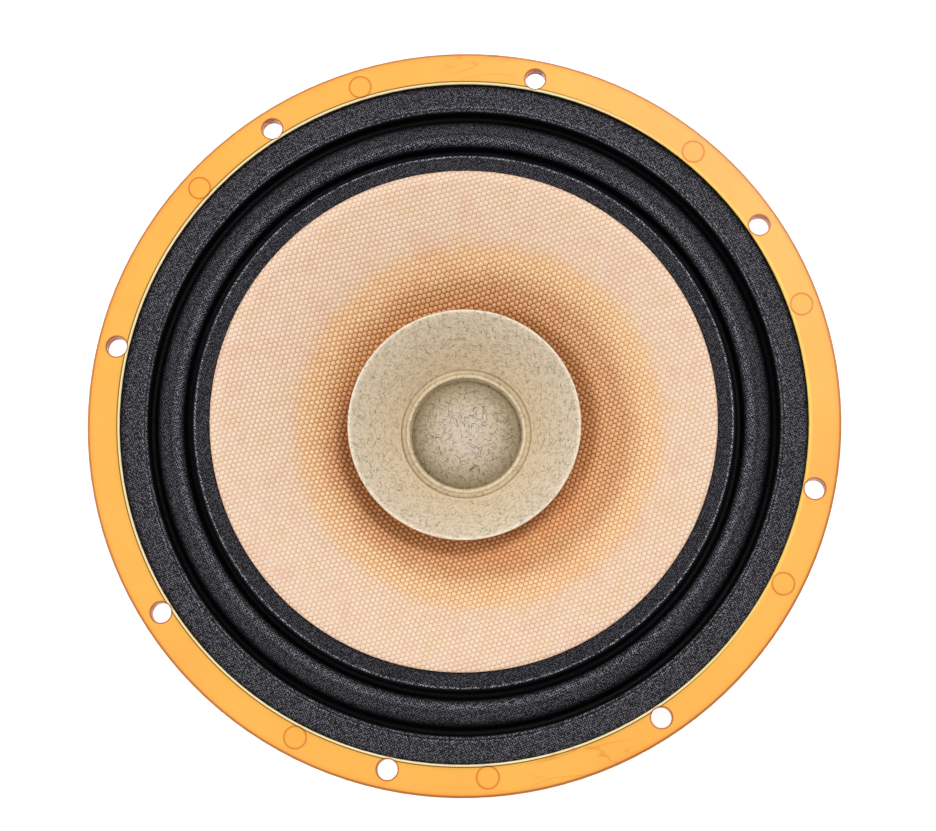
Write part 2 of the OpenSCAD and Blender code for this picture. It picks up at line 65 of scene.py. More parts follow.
# Camera of the photograph: far above the cone, a little off its axis.
# The place and the turn come from fitting the flange, the surround's edge and the rims of both cones.
view_place = (0.00245, -0.11927, 0.70422)
view_turn = (9.502, 1.867, -10.553)
camera = bpy.data.objects.new("camera", bpy.data.cameras.new("camera"))
camera.data.lens = 100.0
camera.data.sensor_width = 36.0
camera.location = view_place
camera.rotation_euler = [math.radians(a) for a in view_turn]
bpy.context.collection.objects.link(camera)
bpy.context.scene.camera = camera
bpy.context.scene.view_settings.view_transform = "Standard"


# Basket: one piece of polycarbonate, injection-moulded and tinted amber.
# Light that enters it leaves at the edges, and this light is painted into its colour: the rim a deeper orange
# with a brown outline, the recess's edge a pale highlight with a dark line at the left and golden at the
# right, and the screw holes rose and brown.
MM = 0.001


def linear(hex_colour):
    """An sRGB hex colour as linear red, green, blue and alpha."""
    parts = [int(hex_colour[i : i + 2], 16) / 255 for i in (1, 3, 5)]
    return [c / 12.92 if c <= 0.04045 else ((c + 0.055) / 1.055) ** 2.4 for c in parts] + [1.0]


def add(tree, kind, inputs=None, stops=None, **settings):
    """Adds a node with its settings. inputs gives each socket a value, or the socket that drives it, and
    stops are the places and colours of a ramp. A noise's Scale is its grains per millimetre over MM. A
    colour mix has its two colours in sockets 6 and 7 and its result in socket 2."""
    new = tree.nodes.new(kind)
    for name, value in settings.items():
        setattr(new, name, value)
    for key, value in (inputs or {}).items():
        if isinstance(value, bpy.types.NodeSocket):
            tree.links.new(value, new.inputs[key])
        else:
            new.inputs[key].default_value = value
    if stops:
        ramp = new.color_ramp
        while len(ramp.elements) < len(stops):
            ramp.elements.new(0.5)
        for element, (place, colour) in zip(ramp.elements, stops):
            element.position = place
            element.color = linear(colour)
    return new


def start_material(name):
    """A new material with an empty tree. Returns the material, its tree and the point on the object."""
    material = bpy.data.materials.new(name)
    material.use_nodes = True
    tree = material.node_tree
    tree.nodes.clear()
    return material, tree, add(tree, "ShaderNodeTexCoord").outputs["Object"]


def finish_material(tree, inputs):
    """Ends a material in one shader with these inputs, linked to the material's output."""
    shader = add(tree, "ShaderNodeBsdfPrincipled", inputs)
    add(tree, "ShaderNodeOutputMaterial", {"Surface": shader.outputs[0]})


def tinted(tree, colour, layers):
    """A colour under layers of tint: each layer's colour is multiplied in by its factor, 0 for not at all."""
    for tint, factor in layers:
        inputs = {"Factor": factor, 6: colour, 7: tint}
        colour = add(tree, "ShaderNodeMix", inputs, data_type="RGBA", blend_type="MULTIPLY").outputs[2]
    return colour


def nearest(tree, point, places):
    """Distance in metres, in plan, from the point to the nearest of some places."""
    flat = add(tree, "ShaderNodeVectorMath", {0: point, 1: (1, 1, 0)}, operation="MULTIPLY").outputs[0]
    least = None
    for place in places:
        gap = add(tree, "ShaderNodeVectorMath", {0: flat, 1: place}, operation="DISTANCE").outputs["Value"]
        if least is None:
            least = gap
        else:
            least = add(tree, "ShaderNodeMath", {0: least, 1: gap}, operation="MINIMUM").outputs[0]
    return least


def by_distance(tree, distance, stops):
    """A colour ramp along a distance in metres, whose stops are given in millimetres."""
    low, high = stops[0][0], stops[-1][0]
    place = add(tree, "ShaderNodeMapRange", {"Value": distance, "From Min": low * MM, "From Max": high * MM})
    shifted = [((d - low) / (high - low), colour) for d, colour in stops]
    return add(tree, "ShaderNodeValToRGB", {"Fac": place.outputs[0]}, stops=shifted).outputs[0]


def mottled(tree, point, grains, detail, stops):
    """Colours that follow a noise with so many grains per millimetre."""
    noise = add(tree, "ShaderNodeTexNoise", {"Vector": point, "Scale": grains / MM, "Detail": detail})
    return add(tree, "ShaderNodeValToRGB", {"Fac": noise.outputs["Fac"]}, stops=stops).outputs[0]


def around_axis(radius, angles):
    """Places at a radius in millimetres and at angles in degrees, in metres."""
    turns = [math.radians(a) for a in angles]
    return [(radius * MM * math.cos(a), radius * MM * math.sin(a), 0) for a in turns]


axis = [(0, 0, 0)]
basket_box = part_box("basket")
flange_r, front_z = basket_box[1][0] / MM, basket_box[1][2] / MM
hole_circle_r = flange_r - 5.5
hole_r = 2.8
hole_angles = [22.5 + 45 * k for k in range(8)]
recess_depth, recess_web = 2.5, 0.5
shelf_z = front_z - recess_depth
recess_r = hole_circle_r - hole_r - recess_web
mark_r = 3.0
mark_circle_r = flange_r - 5.2
mark_angles = [7.8, 38.7, 96.5, 127.9, -38.6, -96.6, -127.9]
flow_angles = [77, -79, -84]
flow_marks = around_axis(flange_r - 3, flow_angles)
amber, tree, point = start_material("moulded_amber_polycarbonate")
split = add(tree, "ShaderNodeSeparateXYZ", {0: point})
sideways, height = split.outputs[0], split.outputs[2]
from_axis = nearest(tree, point, axis)

# Bands of colour from the recess to the rim, with light painted in: the recess's edge differs at the left and
# the right, with a painted pale highlight and a dark line at the left and golden at the right, and the rim
# darkens to a deeper orange.
recess_bands = [(89.0, "#f5b459"), (recess_r - 0.15, "#f7bd64")]
left_edge_painted_highlight = [
    (recess_r - 0.1, "#fff0c4"),
    (recess_r + 0.45, "#ffeab0"),
    (recess_r + 0.58, "#7a4612"),
    (recess_r + 0.75, "#7a4612"),
    (recess_r + 0.9, "#f0b644"),
]
right_edge_painted_light = [(recess_r - 0.1, "#ffd468"), (recess_r + 0.7, "#ffca5a"), (recess_r + 1.1, "#ffba50")]
rim_bands = [
    (recess_r + 1.8, "#ffba50"),
    (flange_r - 2.4, "#ffba50"),
    (flange_r - 1.4, "#fdb750"),
    (flange_r - 0.8, "#f7ad44"),
    (flange_r, "#eca03a"),
]
left_painted_light_bands, right_painted_light_bands = [
    by_distance(tree, from_axis, recess_bands + edge + rim_bands) for edge in (left_edge_painted_highlight, right_edge_painted_light)
]
painted_light_left_to_right = by_distance(tree, sideways, [(35.0, "#000000"), (75.0, "#ffffff")])
bands = add(
    tree, "ShaderNodeMix", {"Factor": painted_light_left_to_right, 6: left_painted_light_bands, 7: right_painted_light_bands}, data_type="RGBA"
)

# The ejector pins leave faint rings, and the flow of the plastic leaves short streaks at three places.
ejector_rings = by_distance(
    tree,
    nearest(tree, point, around_axis(mark_circle_r, mark_angles)),
    [
        (mark_r - 0.4, "#fffcf4"),
        (mark_r - 0.1, "#e8c898"),
        (mark_r + 0.1, "#e8c898"),
        (mark_r + 0.4, "#ffffff"),
    ],
)
drawn = add(tree, "ShaderNodeMapping", {"Vector": point, "Scale": (0.06 / MM, 0.26 / MM, 0.06 / MM)})
flow = add(
    tree,
    "ShaderNodeTexNoise",
    {"Vector": drawn.outputs[0], "Scale": 1.0, "Detail": 1.0, "Distortion": 0.8},
)
streaks = add(
    tree,
    "ShaderNodeValToRGB",
    {"Fac": flow.outputs["Fac"]},
    stops=[(0.0, "#ffffff"), (0.44, "#ffffff"), (0.48, "#e6be8e"), (0.52, "#ffffff"), (1.0, "#ffffff")],
)
flow_mask = add(
    tree,
    "ShaderNodeMapRange",
    {"Value": nearest(tree, point, flow_marks), "From Min": 12 * MM, "From Max": 5 * MM, "To Max": 0.6},
)
clouds = mottled(tree, point, 0.035, 3.0, [(0.3, "#fdf3e6"), (0.7, "#ffffff")])

# The screw holes have a brown rim, and the wall of the recess is painted dark brown.
hole_distance = nearest(tree, point, around_axis(hole_circle_r, hole_angles))
hole_rims = by_distance(
    tree,
    hole_distance,
    [
        (hole_r - 0.8, "#ffffff"),
        (hole_r + 0.02, "#ffffff"),
        (hole_r + 0.05, "#9a5c38"),
        (hole_r + 0.2, "#c98a4c"),
        (hole_r + 0.5, "#ffffff"),
    ],
)
recess_wall = by_distance(
    tree,
    from_axis,
    [
        (recess_r - 0.2, "#000000"),
        (recess_r - 0.1, "#ffffff"),
        (recess_r + 0.05, "#ffffff"),
        (recess_r + 0.1, "#000000"),
    ],
)
dark_wall_band = by_distance(
    tree,
    height,
    [
        (shelf_z - 0.1, "#ffffff"),
        (shelf_z, "#2b1a0c"),
        (front_z - 0.6, "#2b1a0c"),
        (front_z - 0.4, "#ffffff"),
    ],
)
# Painted light: the front of the outer edge is darker, as the brown outline where light leaves the rim.
edge_line = by_distance(tree, from_axis, [(flange_r - 0.75, "#ffffff"), (flange_r - 0.5, "#ccb48e")])
front_edge = by_distance(tree, height, [(front_z - 0.8, "#000000"), (front_z - 0.5, "#ffffff")])
amber_colour = tinted(
    tree,
    bands.outputs[2],
    [
        (ejector_rings, 1.0),
        (streaks.outputs[0], flow_mask.outputs[0]),
        (clouds, 1.0),
        (hole_rims, 1.0),
        (dark_wall_band, recess_wall),
        (edge_line, front_edge),
    ],
)

# Light coming through the walls of the screw holes is painted on them in spots of rose, orange and brown,
# darker at both ends of the wall.
glow_spots = [(0.34, "#5a1c08"), (0.44, "#d88064"), (0.5, "#c8600e"), (0.58, "#ffae30")]
hole_glow = mottled(tree, point, 0.42, 1.0, glow_spots)
wall_ends = by_distance(
    tree,
    height,
    [(0.0, "#6a3a24"), (0.7, "#ffffff"), (front_z - 1.0, "#ffffff"), (front_z - 0.2, "#5a2c18")],
)
hole_colour = tinted(tree, hole_glow, [(wall_ends, 1.0)])
hole_wall = add(tree, "ShaderNodeMath", {0: hole_distance, 1: (hole_r + 0.02) * MM}, operation="LESS_THAN")
amber_colour = add(
    tree,
    "ShaderNodeMix",
    {"Factor": hole_wall.outputs[0], 6: amber_colour, 7: hole_colour},
    data_type="RGBA",
)
gloss, hole_gloss = 0.5, 0.05
glossy = add(
    tree,
    "ShaderNodeMath",
    {0: hole_wall.outputs[0], 1: hole_gloss - gloss, 2: gloss},
    operation="MULTIPLY_ADD",
)
amber_grain = add(tree, "ShaderNodeTexNoise", {"Vector": point, "Scale": 0.9 / MM, "Detail": 3.0})
amber_bump = add(
    tree, "ShaderNodeBump", {"Height": amber_grain.outputs["Fac"], "Strength": 0.15, "Distance": 0.05 * MM}
)
finish_material(
    tree,
    {
        "Base Color": amber_colour.outputs[2],
        "Roughness": 0.25,
        "IOR": 1.585,
        "Specular IOR Level": glossy.outputs[0],
        "Subsurface Weight": 0.3,
        "Subsurface Radius": (1.0, 0.5, 0.15),
        "Subsurface Scale": 1.5 * MM,
        "Normal": amber_bump.outputs[0],
    },
)
nodes["basket"].material_slots[0].material = amber


# Surround: one ring of woven cotton, pressed hot into a roll between two grooves and coated with black dope.
# The dope fills the gaps between the threads, so only the tops of the threads shine; the shine is painted as
# small grey specks.
# Threads are drawn coarser than the real ones, so that they show.
def arc(centre, radius, height, start, end, count):
    """Points on an ellipse around a centre, from one angle to another in degrees."""
    a = np.radians(np.linspace(start, end, count))
    return np.stack([centre[0] + radius * np.cos(a), centre[1] + height * np.sin(a)], axis=1)


def lengths_along(profile):
    """The length of the line up to each of its points."""
    return np.concatenate([[0.0], np.cumsum(np.linalg.norm(np.diff(profile, axis=0), axis=1))])


def spaced(profile, step):
    """The same profile as points about one step apart along its length."""
    length = lengths_along(profile)
    along = np.linspace(0.0, length[-1], int(length[-1] / step) + 2)
    return np.stack([np.interp(along, length, column) for column in profile.T], axis=1)


def beside(profile, distance):
    """The profile moved sideways: each point plus the distance along the normal to its left."""
    run = np.gradient(profile, axis=0)
    run /= np.linalg.norm(run, axis=1)[:, None]
    return profile + np.stack([-run[:, 1], run[:, 0]], axis=1) * np.asarray(distance).reshape(-1, 1)


def turned(outline, segments):
    """A closed outline of radius and height carried round the Z axis: x = r cos a, y = r sin a, z = height.
    The last face strip joins the outline's end to its start. Returns points and four-sided faces."""
    a = np.linspace(0.0, 2 * np.pi, segments, endpoint=False)
    r, z = outline[:, 0][:, None], outline[:, 1][:, None]
    points = np.stack([r * np.cos(a), r * np.sin(a), z + 0 * a], axis=2).reshape(-1, 3)
    i, k = np.meshgrid(np.arange(len(outline)), np.arange(segments), indexing="ij")
    i2, k2 = (i + 1) % len(outline), (k + 1) % segments
    faces = np.stack([i, i, i2, i2], axis=2) * segments + np.stack([k, k2, k2, k], axis=2)
    run = np.roll(outline, -1, axis=0)
    area = np.sum(outline[:, 0] * run[:, 1] - run[:, 0] * outline[:, 1])
    faces = faces.reshape(-1, 4)
    return points, faces if area > 0 else faces[:, ::-1]


def new_piece(name, points, faces, material, values=None):
    """A smooth piece from points in millimetres and faces, with named values on its points."""
    mesh = bpy.data.meshes.new(name)
    lists = faces if isinstance(faces, list) else [faces]
    mesh.from_pydata((points * MM).tolist(), [], [f for part in lists for f in part.tolist()])
    for key, value in (values or {}).items():
        mesh.attributes.new(key, "FLOAT", "POINT").data.foreach_set("value", value.astype(np.float32))
    mesh.polygons.foreach_set("use_smooth", np.ones(len(mesh.polygons), bool))
    mesh.materials.append(material)
    mesh.update()
    piece = bpy.data.objects.new(name, mesh)
    bpy.context.collection.objects.link(piece)
    return piece


def smoothstep(x):
    """0 below 0, 1 above 1, and 3x^2 - 2x^3 between."""
    x = np.clip(x, 0.0, 1.0)
    return x * x * (3 - 2 * x)


def bend_by_radius(piece):
    """Bakes the ring's place into its points and reads the points back; it does not move them."""
    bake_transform(piece)
    place = np.empty(3 * len(piece.data.vertices), np.float32)
    piece.data.vertices.foreach_get("co", place)


def weave(tree, point, pitch, turn, wander):
    """Threads that cross at a right angle: the sine of pi times each axis over the pitch, made positive, and
    the two multiplied, so that every crossing is a knot. wander is how far they stray, in millimetres."""
    warp = add(tree, "ShaderNodeTexNoise", {"Vector": point, "Scale": 0.7 / MM, "Detail": 2.0})
    strayed = add(
        tree,
        "ShaderNodeVectorMath",
        {0: warp.outputs["Color"], 1: (wander * MM, wander * MM, 0.0), 2: point},
        operation="MULTIPLY_ADD",
    )
    laid = add(
        tree,
        "ShaderNodeMapping",
        {
            "Vector": strayed.outputs[0],
            "Rotation": (0, 0, math.radians(turn)),
            "Scale": [math.pi / (pitch * MM)] * 3,
        },
    )
    waves = add(tree, "ShaderNodeVectorMath", {0: laid.outputs[0]}, operation="SINE")
    waves = add(tree, "ShaderNodeVectorMath", {0: waves.outputs[0]}, operation="ABSOLUTE")
    axes = add(tree, "ShaderNodeSeparateXYZ", {0: waves.outputs[0]})
    knots = add(tree, "ShaderNodeMath", {0: axes.outputs[0], 1: axes.outputs[1]}, operation="MULTIPLY")
    return knots.outputs[0]


surround_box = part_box("surround")
surround_r = surround_box[1][0] / MM
surround_t = 0.5
band_z = surround_box[1][2] / MM - surround_t / 2
flat_w, lip_w, groove_w = 6.8, 1.8, 4.9
lip_r, groove_r, groove_z = 0.65, 1.15, -0.6
roll_half, roll_height = 3.75, 2.85
outer_lip_r = surround_r - flat_w
outer_groove_r = outer_lip_r - lip_w
roll_r = outer_groove_r - groove_w
inner_groove_r = roll_r - groove_w
inner_lip_r = inner_groove_r - lip_w
seam_r = inner_lip_r - flat_w
ridge_w, ridge_h = 0.35, 0.22
roll = np.radians(np.linspace(0, 180, 30))
surround_line = np.concatenate(
    [
        [[surround_r, band_z]],
        arc((outer_lip_r, band_z - lip_r), lip_r, lip_r, 90, 180, 6),
        arc((outer_groove_r, groove_z), groove_r, groove_r, 0, -180, 14),
        np.stack([roll_r + roll_half * np.cos(roll), groove_z + roll_height * np.sin(roll)], axis=1)[1:-1],
        arc((inner_groove_r, groove_z), groove_r, groove_r, 0, -180, 14),
        arc((inner_lip_r, band_z - lip_r), lip_r, lip_r, 0, 90, 6),
        [[seam_r, band_z]],
    ]
)
line = spaced(surround_line, step=0.42)
ridges = sum(ridge_h * np.exp(-(((line[:, 0] - r) / ridge_w) ** 2)) for r in (outer_lip_r, inner_lip_r))
front = beside(line, -(surround_t / 2 + ridges))
back = beside(spaced(surround_line, step=1.2), surround_t / 2)[::-1]
points, faces = turned(np.concatenate([front, back]), segments=720)

# A knot stands up by its share, and a noise sinks some of the threads in the dope.
thread_pitch, knot_share = 0.58, 0.4
doped, tree, point = start_material("doped_black_cotton")
knots = weave(tree, point, thread_pitch, turn=-14, wander=0.55)
shine = add(
    tree, "ShaderNodeTexNoise", {"Vector": point, "Scale": 2.1 / MM, "Detail": 1.0, "Roughness": 0.9}
)
raised = add(
    tree,
    "ShaderNodeMath",
    {0: knots, 1: knot_share, 2: 1 - knot_share},
    operation="MULTIPLY_ADD",
)
speckled = add(tree, "ShaderNodeMath", {0: raised.outputs[0], 1: shine.outputs["Fac"]}, operation="MULTIPLY")
knot_height = speckled.outputs[0]

# The dope is painted with light and shade: black in the grooves, where shade falls, and light grey as
# highlights on the lips and on the inner side of the roll, over a mid grey on the flats.
dope_with_painted_light = by_distance(
    tree,
    nearest(tree, point, axis),
    [
        (seam_r, "#58565c"),
        (inner_lip_r - 0.4, "#58565c"),
        (inner_lip_r - 0.2, "#c0c0c6"),
        (inner_lip_r, "#c0c0c6"),
        (inner_lip_r + 0.2, "#141416"),
        (inner_groove_r + 1.3, "#060607"),
        (roll_r - 3.0, "#58585c"),
        (roll_r - 2.0, "#949298"),
        (roll_r - 1.1, "#84828a"),
        (roll_r - 0.3, "#504e52"),
        (roll_r + 0.7, "#66646a"),
        (roll_r + 2.1, "#5a5a60"),
        (roll_r + 3.2, "#2c2c2f"),
        (outer_groove_r - 1.2, "#050506"),
        (outer_groove_r + 1.3, "#050506"),
        (outer_lip_r - 0.2, "#88888e"),
        (outer_lip_r + 0.1, "#88888e"),
        (outer_lip_r + 0.25, "#2c2c30"),
        (outer_lip_r + 0.45, "#2c2c30"),
        (outer_lip_r + 0.6, "#94949a"),
        (outer_lip_r + 0.9, "#94949a"),
        (outer_lip_r + 1.2, "#727076"),
        (surround_r, "#727076"),
    ],
)
# Painted highlight: the highest knots are painted light grey to white, as the shine on the threads' tops.
thread_tops_painted_shine = add(
    tree,
    "ShaderNodeValToRGB",
    {"Fac": knot_height},
    stops=[(0.22, "#101012"), (0.33, "#34343a"), (0.41, "#7a7a82"), (0.48, "#d4d4dc"), (0.55, "#ffffff")],
)
cloth_bump = add(tree, "ShaderNodeBump", {"Height": knot_height, "Strength": 0.9, "Distance": 0.25 * MM})
finish_material(
    tree,
    {
        "Base Color": tinted(tree, dope_with_painted_light, [(thread_tops_painted_shine.outputs[0], 1.0)]),
        "Roughness": 0.55,
        "Specular IOR Level": 0.15,
        "Normal": cloth_bump.outputs[0],
    },
)
surround = new_piece("pleated_surround", points, faces, doped)
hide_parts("surround")
bend_by_radius(surround)


# Cone: natural fibre woven into a fabric of small beads and stiffened with resin, glued on the surround's rim
# and on the voice coil's collar. The resin is brown where it was brushed on round the middle. The beads of
# the front are in the mesh, and the back has its weave in the material.
cone_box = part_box("cone")
cone_trim = 0.4
cone_r = cone_box[1][0] / MM - cone_trim
cone_rim_z = cone_box[1][2] / MM
cone_foot_z = cone_box[0][2] / MM
cone_t = 0.6
cone_neck_r, cone_neck_l = 18.3, 3.3
cone_neck = np.array([cone_neck_r, cone_foot_z + cone_neck_l])
cone_seam = np.array([seam_r, cone_rim_z - cone_t / 2])
cone_bulge = 4.0
bead_pitch = 1.405
bead_turn = 4.3
bead_height = 0.36
bead_stray = 0.035
bead_sunk = 0.6
shoulder_r, shoulder_h = 0.5, 0.8
rim_press, rim_press_w = 0.35, 0.9
rim_fold, tuck = 0.4, 0.1
stiff_r, soft_r = 42.0, 54.0
hidden_r = 24.0


def bulged(start, end, height, count):
    """Points on a line whose middle is pushed sideways by a height, as a parabola: 4 h t (1 - t)."""
    t = np.linspace(0.0, 1.0, count)[:, None]
    run = (end - start) / np.linalg.norm(end - start)
    return start + (end - start) * t + np.array([-run[1], run[0]]) * 4 * height * t * (1 - t)


def by_attribute(tree, name, stops):
    """A colour ramp along a value that the mesh holds on its points."""
    value = add(tree, "ShaderNodeAttribute", attribute_name=name).outputs["Fac"]
    return add(tree, "ShaderNodeValToRGB", {"Fac": value}, stops=stops).outputs[0]


def beads(inner, outer, rng):
    """A triangular lattice of beads, each a fan of six triangles inside a ring of twelve. A bead's centre is
    highest, its shoulder a little lower, and the six corners that it shares with its neighbours lie at 0.
    Points outside the two circles are drawn back to them. Returns plan, faces, heights and tints."""
    a = math.radians(bead_turn)
    across = bead_pitch * np.array([math.cos(a), math.sin(a)])
    aslant = bead_pitch * np.array([math.cos(a + math.pi / 3), math.sin(a + math.pi / 3)])
    n = int(outer / (bead_pitch * math.sin(math.pi / 3))) + 3
    size = 2 * n + 1
    count = size * size
    i, j = np.meshgrid(np.arange(-n, n + 1), np.arange(-n, n + 1), indexing="ij")
    centre = i[..., None] * across + j[..., None] * aslant
    stray = rng.normal(0.0, bead_stray, centre.shape)
    turn = np.radians(30 + 60 * np.arange(6)) + a
    ring = (centre + stray)[..., None, :] + shoulder_r * np.stack([np.cos(turn), np.sin(turn)], axis=1)

    def corner(kind, di, dj):
        """Number of one of the two corners above the bead that lies di and dj steps away."""
        row, column = np.clip(i + n + di, 0, size - 1), np.clip(j + n + dj, 0, size - 1)
        return (7 + kind) * count + row * size + column

    around = [(0, 0, 0), (1, 0, 0), (0, -1, 0), (1, 0, -1), (0, 0, -1), (1, 1, -1)]
    corners = np.stack([corner(*place) for place in around], axis=2)
    cell = ((i + n) * size + (j + n))[..., None]
    middle = count + cell * 6 + np.arange(6)
    fan = np.stack([np.broadcast_to(cell, middle.shape), middle, np.roll(middle, -1, axis=2)], axis=3)
    low = np.stack([middle, corners, np.roll(middle, -1, axis=2)], axis=3)
    high = np.stack([corners, np.roll(corners, -1, axis=2), np.roll(middle, -1, axis=2)], axis=3)
    faces = np.concatenate([fan.reshape(-1, 3), low.reshape(-1, 3), high.reshape(-1, 3)])
    shared = [centre + (across + aslant) / 3, centre + (2 * aslant - across) / 3]
    plan = np.concatenate([part.reshape(-1, 2) for part in [centre + stray, ring] + shared])
    lift = rng.uniform(0.82, 1.08, count)
    height = np.concatenate([lift, shoulder_h * np.repeat(lift, 6), np.zeros(2 * count)])
    tone = rng.uniform(0.0, 1.0, count)
    tint = np.concatenate([tone, np.repeat(tone, 6), np.full(2 * count, 0.5)])
    r = np.linalg.norm(plan, axis=1)
    faces = faces[((r > inner) & (r < outer))[faces].any(axis=1)]
    plan *= (np.clip(r, inner, outer) / np.maximum(r, 1e-9))[:, None]
    used, numbers = np.unique(faces, return_inverse=True)
    return plan[used], numbers.reshape(faces.shape), height[used], tint[used]


# Each point of a bead stands off the front along its normal, lower at the rim and outside the resin.
cone_rim = [[cone_r, cone_rim_z - cone_t / 2]]
cone_line = spaced(np.concatenate([bulged(cone_neck, cone_seam, cone_bulge, 40), cone_rim]), step=1.3)
cone_front = beside(cone_line, cone_t / 2)
cone_back = beside(cone_line, -cone_t / 2)
slope = np.gradient(cone_front[:, 1], cone_front[:, 0])
rng = np.random.default_rng(8)
plan, bead_faces, bead_lift, bead_tint = beads(hidden_r, cone_r, rng)
reach = np.linalg.norm(plan, axis=1)
bead_lift = bead_lift * (rim_press + (1 - rim_press) * smoothstep((cone_r - reach) / rim_press_w))
bead_h = bead_height * (1 - 0.2 * smoothstep((reach - stiff_r) / (soft_r - stiff_r)))
tilt = np.interp(reach, cone_front[:, 0], slope)
outward = np.column_stack([-plan * (tilt / reach)[:, None], np.ones(len(plan))])
outward /= np.sqrt(1 + tilt**2)[:, None]
bead_points = np.column_stack([plan, np.interp(reach, cone_front[:, 0], cone_front[:, 1])])
bead_points += outward * ((bead_lift - bead_sunk) * bead_h)[:, None]

# The shell is the rest of the cone: its rim, its back, its neck and the front that the whizzer hides. Its
# last strip is left out, because the beads cover it.
hidden_z, rim_z = np.interp([hidden_r, cone_r], cone_front[:, 0], cone_front[:, 1]) - tuck
shell_outline = np.concatenate(
    [
        [[cone_r, rim_z], [cone_r, rim_z - rim_fold]],
        cone_back[::-1],
        [[cone_neck_r + cone_t / 2, cone_foot_z], [cone_neck_r - cone_t / 2, cone_foot_z]],
        cone_front[cone_front[:, 0] < hidden_r - 1],
        [[hidden_r, hidden_z]],
    ]
)
shell_segments = 300
shell_points, shell_faces = turned(shell_outline, shell_segments)
shell_faces = shell_faces[: (len(shell_outline) - 1) * shell_segments]
shell_count = len(shell_points)

# The resin's colours follow the distance from a place beside the axis, with a ragged edge.
resin_centre = [(3.8 * MM, -1.4 * MM, 0)]
resin_ragged_w = 4.0
woven, tree, point = start_material("woven_resin_cone")
ragged = add(tree, "ShaderNodeTexNoise", {"Vector": point, "Scale": 0.12 / MM, "Detail": 3.0})
resin_edge = add(
    tree,
    "ShaderNodeMath",
    {0: ragged.outputs["Fac"], 1: resin_ragged_w * MM, 2: nearest(tree, point, resin_centre)},
    operation="MULTIPLY_ADD",
).outputs[0]
resin = by_distance(
    tree,
    resin_edge,
    [
        (30, "#f4bd87"),
        (36, "#f2bd88"),
        (42, "#e8b684"),
        (48, "#fcd3a2"),
        (51.8, "#f9d2a6"),
        (54, "#f3d5b8"),
        (59, "#f2d7bd"),
        (74, "#f2d6bd"),
    ],
)
# Painted shade: the cone is darker in the gaps between the beads, and more so inside the resin's edge.
bead_gap_shade = by_attribute(tree, "bead", [(0.0, "#7a4c2c"), (0.25, "#c79a72"), (0.5, "#ffffff")])
gap_shade_strength = add(
    tree,
    "ShaderNodeMapRange",
    {"Value": resin_edge, "From Min": stiff_r * MM, "From Max": 55 * MM, "To Min": 1.0, "To Max": 0.5},
)
shades = by_attribute(
    tree, "tint", [(0.0, "#fcf5f0"), (0.4, "#ffffff"), (0.9, "#fffdf8"), (1.0, "#fcf6ea")]
)
patches = mottled(tree, point, 0.11, 2.0, [(0.35, "#fdf6f4"), (0.5, "#ffffff"), (0.65, "#fdfaf2")])
back_pitch = 1.24
on_back = add(tree, "ShaderNodeAttribute", attribute_name="back")
back_knots = weave(tree, point, back_pitch, bead_turn, wander=0.2)
back_gaps = add(tree, "ShaderNodeValToRGB", {"Fac": back_knots}, stops=[(0.05, "#b08a68"), (0.4, "#ffffff")])
cone_colour = tinted(
    tree,
    resin,
    [
        (bead_gap_shade, gap_shade_strength.outputs[0]),
        (shades, 1.0),
        (patches, 1.0),
        (back_gaps.outputs[0], on_back.outputs["Fac"]),
    ],
)
relief = add(tree, "ShaderNodeMath", {0: back_knots, 1: on_back.outputs["Fac"]}, operation="MULTIPLY")
back_bump = add(tree, "ShaderNodeBump", {"Height": relief.outputs[0], "Strength": 0.8, "Distance": 0.2 * MM})
fuzz = add(tree, "ShaderNodeTexNoise", {"Vector": point, "Scale": 2.5 / MM, "Detail": 2.0})
fuzz_bump = add(
    tree,
    "ShaderNodeBump",
    {
        "Height": fuzz.outputs["Fac"],
        "Strength": 0.3,
        "Distance": 0.06 * MM,
        "Normal": back_bump.outputs[0],
    },
)
finish_material(
    tree,
    {
        "Base Color": cone_colour,
        "Roughness": 0.42,
        "Specular IOR Level": 0.55,
        "Normal": fuzz_bump.outputs[0],
    },
)
cone = new_piece(
    "woven_cone",
    np.concatenate([bead_points, shell_points]),
    [bead_faces, shell_faces + len(bead_points)],
    woven,
    {
        "bead": np.concatenate([bead_lift, np.full(shell_count, 0.75)]),
        "tint": np.concatenate([bead_tint, np.full(shell_count, 0.5)]),
        "back": np.concatenate([np.zeros(len(bead_points)), np.ones(shell_count)]),
    },
)
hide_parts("cone")
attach(cone, "moving_assembly")


# Voice coil: a tube of polyimide film, wound below with copper-clad aluminium wire and wrapped above it in
# varnished kraft paper, on which cone and spider are glued.
# The film gives a glossy amber brown, the wire fine bright rings, and the paper dull fibres around the tube.
def toned(tree, level, colours, spread, relief, depth, shader):
    """Ends a material whose colour runs through some colours as its level goes from half less the spread to
    half plus the spread, and whose surface rises with the relief by a depth in millimetres."""
    places = np.linspace(0.5 - spread, 0.5 + spread, len(colours))
    drift = add(tree, "ShaderNodeValToRGB", {"Fac": level}, stops=list(zip(places, colours)))
    bump = add(tree, "ShaderNodeBump", {"Height": relief, "Strength": 1.0, "Distance": depth * MM})
    inputs = {"Base Color": drift.outputs[0], "Normal": bump.outputs[0]}
    inputs.update({key.replace("_", " "): value for key, value in shader.items()})
    finish_material(tree, inputs)


def grained(name, colours, grain, depth, **shader):
    """A material whose colour drifts along a ramp and whose surface is pressed by the same grain. grain is
    the size of one grain along X, Y and Z and depth the height of its relief, both in millimetres."""
    material, tree, point = start_material(name)
    sized = add(tree, "ShaderNodeMapping", {"Vector": point, "Scale": [1 / (size * MM) for size in grain]})
    noise = add(tree, "ShaderNodeTexNoise", {"Vector": sized.outputs[0], "Scale": 1.0, "Detail": 4.0})
    toned(tree, noise.outputs["Fac"], colours, 0.15, noise.outputs["Fac"], depth, shader)
    return material


